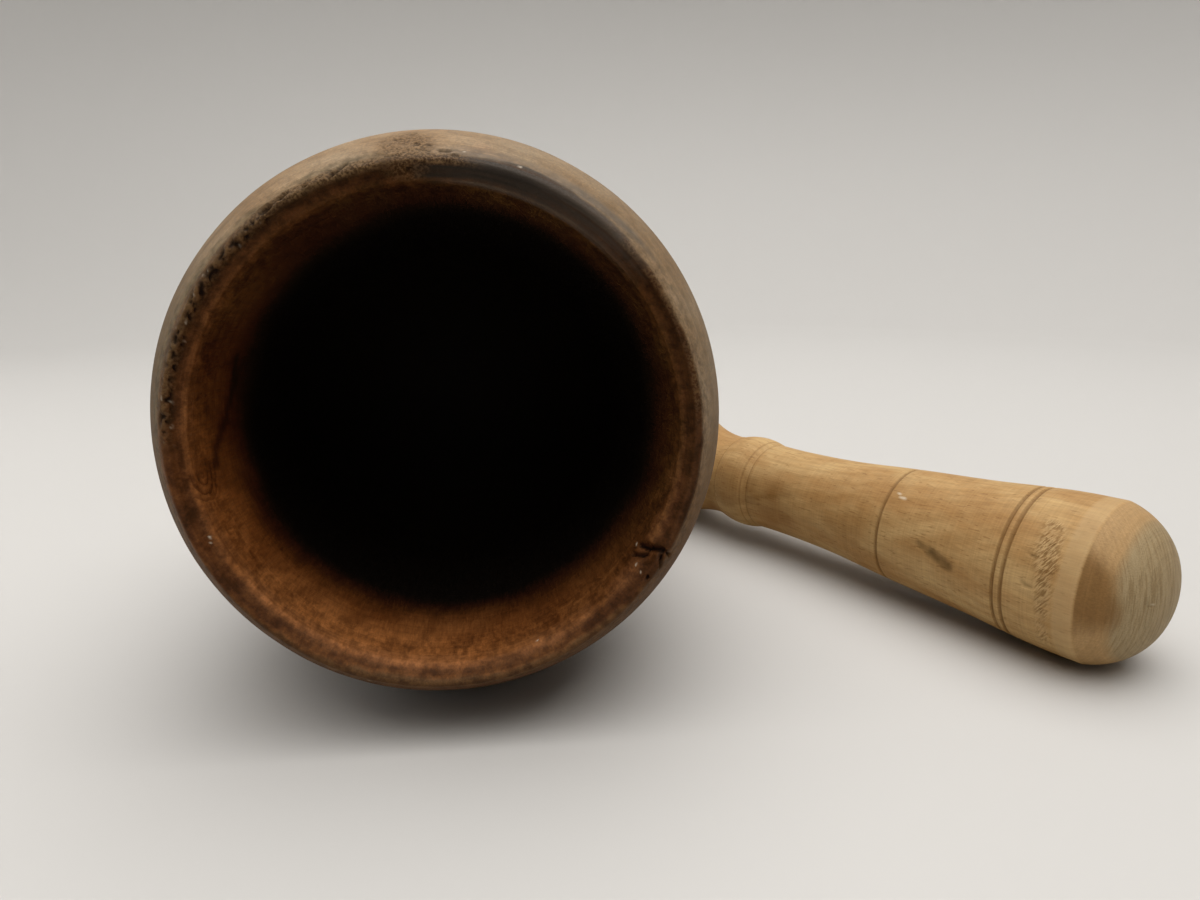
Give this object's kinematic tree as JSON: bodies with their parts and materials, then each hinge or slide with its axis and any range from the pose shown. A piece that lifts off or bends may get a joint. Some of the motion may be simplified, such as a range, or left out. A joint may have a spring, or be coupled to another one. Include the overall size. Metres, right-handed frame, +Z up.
{
  "type": "mortar and pestle",
  "caption": "Turned wooden mortar lying on its side with its mouth open to the front, and a tapered wooden pestle with turned grooves lying beside it.",
  "frame": {"origin": "on the surface the two pieces lie on, under the middle of the box round both", "axes": "+Z up; the mortar's axis lies over the Y axis with its mouth towards -Y; the pestle lies on the +X side"},
  "size_m": [0.2292, 0.1648, 0.1205],
  "materials": {
    "mortar_wood": "weathered, worn smooth, with torn end grain at the lip",
    "pestle_wood": "plain turned, dry, lightly worn"
  },
  "bodies": {
    "mortar": {"mortar": "mortar_wood"},
    "pestle": {"pestle": "pestle_wood"}
  },
  "joints": [
    {"name": "pestle_lift", "type": "slide", "parent": "mortar", "child": "pestle", "axis": [0, 0, 1], "range_m": [0, 0.15]}
  ]
}
